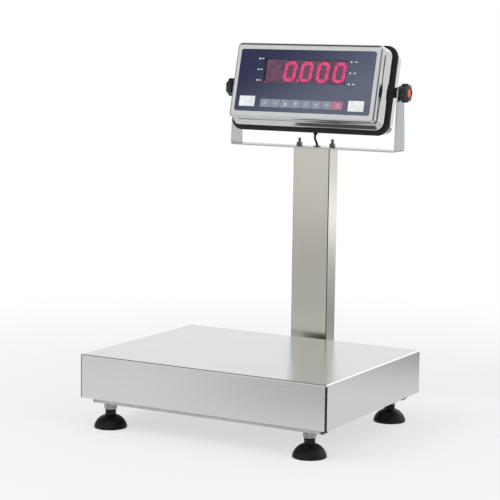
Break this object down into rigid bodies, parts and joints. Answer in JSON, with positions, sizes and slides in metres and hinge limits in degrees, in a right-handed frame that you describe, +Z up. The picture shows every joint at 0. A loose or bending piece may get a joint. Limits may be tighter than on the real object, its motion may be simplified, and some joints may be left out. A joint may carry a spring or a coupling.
{
  "type": "bench weighing scale",
  "caption": "Stainless bench scale: flat platter with deep skirt on a load cell frame, levelling feet, and a rear column carrying a tilting digital display in a U-bracket.",
  "frame": {"origin": "on the floor, midway between the front of the platter's skirt and the back of the display, in the middle of the width", "axes": "+Z up, +X to the right along the front edge, +Y from the front to the column"},
  "size_m": [0.4, 0.3697, 0.5543],
  "materials": {
    "stainless_sheet": "brushed",
    "frame_paint": "satin",
    "zinc_plate": "plated",
    "cell_aluminium": "machined",
    "foot_plastic": "moulded",
    "black_rubber": "matt",
    "panel_film": "fine texture",
    "smoked_window": "clear",
    "lit_red": "lit",
    "dark_bar": "unlit",
    "board_green": "laminate",
    "battery_black": "moulded",
    "knob_black": "moulded",
    "cap_red": "moulded",
    "cable_jacket": "matt",
    "key_print": "printed film",
    "brass_bush": "turned"
  },
  "bodies": {
    "base": {"front_rail": "frame_paint", "rear_rail": "frame_paint", "cross_beam": "frame_paint", "rail_end_caps": "foot_plastic", "foot_bushes": "zinc_plate", "foot_lock_nuts": "zinc_plate", "overload_stops": "zinc_plate", "load_cell": "cell_aluminium", "column_plate": "frame_paint", "frame_bolts": "zinc_plate", "column": "stainless_sheet", "bracket_studs": "zinc_plate", "bracket_nuts": "zinc_plate", "cable_grommet": "black_rubber", "u_bracket": "stainless_sheet", "column_cable": "cable_jacket", "indicator_lead": "cable_jacket"},
    "spider": {"spider_front_beam": "frame_paint", "spider_rear_beam": "frame_paint", "spider_bridge": "frame_paint", "upper_spacer": "zinc_plate", "spider_bolts": "zinc_plate", "spider_pads": "black_rubber"},
    "platter": {"platter": "stainless_sheet"},
    "indicator": {"front_shell": "stainless_sheet", "gasket": "black_rubber", "rear_cover": "stainless_sheet", "cover_screws": "zinc_plate", "overlay": "panel_film", "display_window": "smoked_window", "display_block": "battery_black", "lit_segments": "lit_red", "dark_segments": "dark_bar", "main_board": "board_green", "board_standoffs": "brass_bush", "battery": "battery_black", "keypad_board": "board_green", "power_inlet": "battery_black", "cable_relief": "black_rubber", "pivot_spacers": "black_rubber"},
    "knob_left": {"knob_left": "knob_black", "knob_cap_left": "cap_red"},
    "knob_right": {"knob_right": "knob_black", "knob_cap_right": "cap_red"},
    "foot_pad_fl": {"foot_pad_fl": "foot_plastic"},
    "foot_stud_fl": {"foot_stud_fl": "zinc_plate"},
    "foot_pad_fr": {"foot_pad_fr": "foot_plastic"},
    "foot_stud_fr": {"foot_stud_fr": "zinc_plate"},
    "foot_pad_rl": {"foot_pad_rl": "foot_plastic"},
    "foot_stud_rl": {"foot_stud_rl": "zinc_plate"},
    "foot_pad_rr": {"foot_pad_rr": "foot_plastic"},
    "foot_stud_rr": {"foot_stud_rr": "zinc_plate"},
    "key_1": {"key_1": "key_print"},
    "key_2": {"key_2": "key_print"},
    "key_3": {"key_3": "key_print"},
    "key_4": {"key_4": "key_print"},
    "key_5": {"key_5": "key_print"},
    "key_6": {"key_6": "key_print"},
    "key_7": {"key_7": "key_print"},
    "key_8": {"key_8": "key_print"}
  },
  "joints": [
    {"name": "weigh_travel", "type": "slide", "parent": "base", "child": "spider", "axis": [0, 0, -1], "range_m": [0, 0.0004], "stiffness_N_per_m": 800000, "springref_m": -0.00004, "deforming": ["load_cell"]},
    {"name": "platter_lift", "type": "slide", "parent": "spider", "child": "platter", "axis": [0, 0, 1], "range_m": [0, 0.07]},
    {"name": "indicator_tilt", "type": "hinge", "parent": "base", "child": "indicator", "pos_m": [0, 0.15166, 0.4845], "axis": [1, 0, 0], "range_deg": [-35, 20], "deforming": ["indicator_lead"]},
    {"name": "foot_travel_fl", "type": "slide", "parent": "base", "child": "foot_pad_fl", "axis": [0, 0, -1], "range_m": [0, 0.0151]},
    {"name": "foot_turn_fl", "type": "hinge", "parent": "foot_pad_fl", "child": "foot_stud_fl", "pos_m": [-0.1633, -0.16084, 0.0205], "axis": [0, 0, -1], "range_deg": [0, 3600]},
    {"name": "foot_travel_fr", "type": "slide", "parent": "base", "child": "foot_pad_fr", "axis": [0, 0, -1], "range_m": [0, 0.0151]},
    {"name": "foot_turn_fr", "type": "hinge", "parent": "foot_pad_fr", "child": "foot_stud_fr", "pos_m": [0.1633, -0.16084, 0.0205], "axis": [0, 0, -1], "range_deg": [0, 3600]},
    {"name": "foot_travel_rl", "type": "slide", "parent": "base", "child": "foot_pad_rl", "axis": [0, 0, -1], "range_m": [0, 0.0151]},
    {"name": "foot_turn_rl", "type": "hinge", "parent": "foot_pad_rl", "child": "foot_stud_rl", "pos_m": [-0.1633, 0.09216, 0.0205], "axis": [0, 0, -1], "range_deg": [0, 3600]},
    {"name": "foot_travel_rr", "type": "slide", "parent": "base", "child": "foot_pad_rr", "axis": [0, 0, -1], "range_m": [0, 0.0151]},
    {"name": "foot_turn_rr", "type": "hinge", "parent": "foot_pad_rr", "child": "foot_stud_rr", "pos_m": [0.1633, 0.09216, 0.0205], "axis": [0, 0, -1], "range_deg": [0, 3600]},
    {"name": "knob_turn_left", "type": "hinge", "parent": "indicator", "child": "knob_left", "pos_m": [-0.142, 0.15166, 0.4845], "axis": [-1, 0, 0], "range_deg": [0, 360]},
    {"name": "knob_turn_right", "type": "hinge", "parent": "indicator", "child": "knob_right", "pos_m": [0.142, 0.15166, 0.4845], "axis": [1, 0, 0], "range_deg": [0, 360]},
    {"name": "key_1_press", "type": "slide", "parent": "indicator", "child": "key_1", "axis": [0, 0.9699, -0.2436], "range_m": [0, 0.0004], "stiffness_N_per_m": 1500, "springref_m": -0.0001},
    {"name": "key_2_press", "type": "slide", "parent": "indicator", "child": "key_2", "axis": [0, 0.9699, -0.2436], "range_m": [0, 0.0004], "stiffness_N_per_m": 1500, "springref_m": -0.0001},
    {"name": "key_3_press", "type": "slide", "parent": "indicator", "child": "key_3", "axis": [0, 0.9699, -0.2436], "range_m": [0, 0.0004], "stiffness_N_per_m": 1500, "springref_m": -0.0001},
    {"name": "key_4_press", "type": "slide", "parent": "indicator", "child": "key_4", "axis": [0, 0.9699, -0.2436], "range_m": [0, 0.0004], "stiffness_N_per_m": 1500, "springref_m": -0.0001},
    {"name": "key_5_press", "type": "slide", "parent": "indicator", "child": "key_5", "axis": [0, 0.9699, -0.2436], "range_m": [0, 0.0004], "stiffness_N_per_m": 1500, "springref_m": -0.0001},
    {"name": "key_6_press", "type": "slide", "parent": "indicator", "child": "key_6", "axis": [0, 0.9699, -0.2436], "range_m": [0, 0.0004], "stiffness_N_per_m": 1500, "springref_m": -0.0001},
    {"name": "key_7_press", "type": "slide", "parent": "indicator", "child": "key_7", "axis": [0, 0.9699, -0.2436], "range_m": [0, 0.0004], "stiffness_N_per_m": 1500, "springref_m": -0.0001},
    {"name": "key_8_press", "type": "slide", "parent": "indicator", "child": "key_8", "axis": [0, 0.9699, -0.2436], "range_m": [0, 0.0004], "stiffness_N_per_m": 1500, "springref_m": -0.0001}
  ],
  "couplings": [
    {"joint": "foot_travel_fl", "follows": "foot_turn_fl", "m_per_rad": 0.00023873},
    {"joint": "foot_travel_fr", "follows": "foot_turn_fr", "m_per_rad": 0.00023873},
    {"joint": "foot_travel_rl", "follows": "foot_turn_rl", "m_per_rad": 0.00023873},
    {"joint": "foot_travel_rr", "follows": "foot_turn_rr", "m_per_rad": 0.00023873}
  ]
}
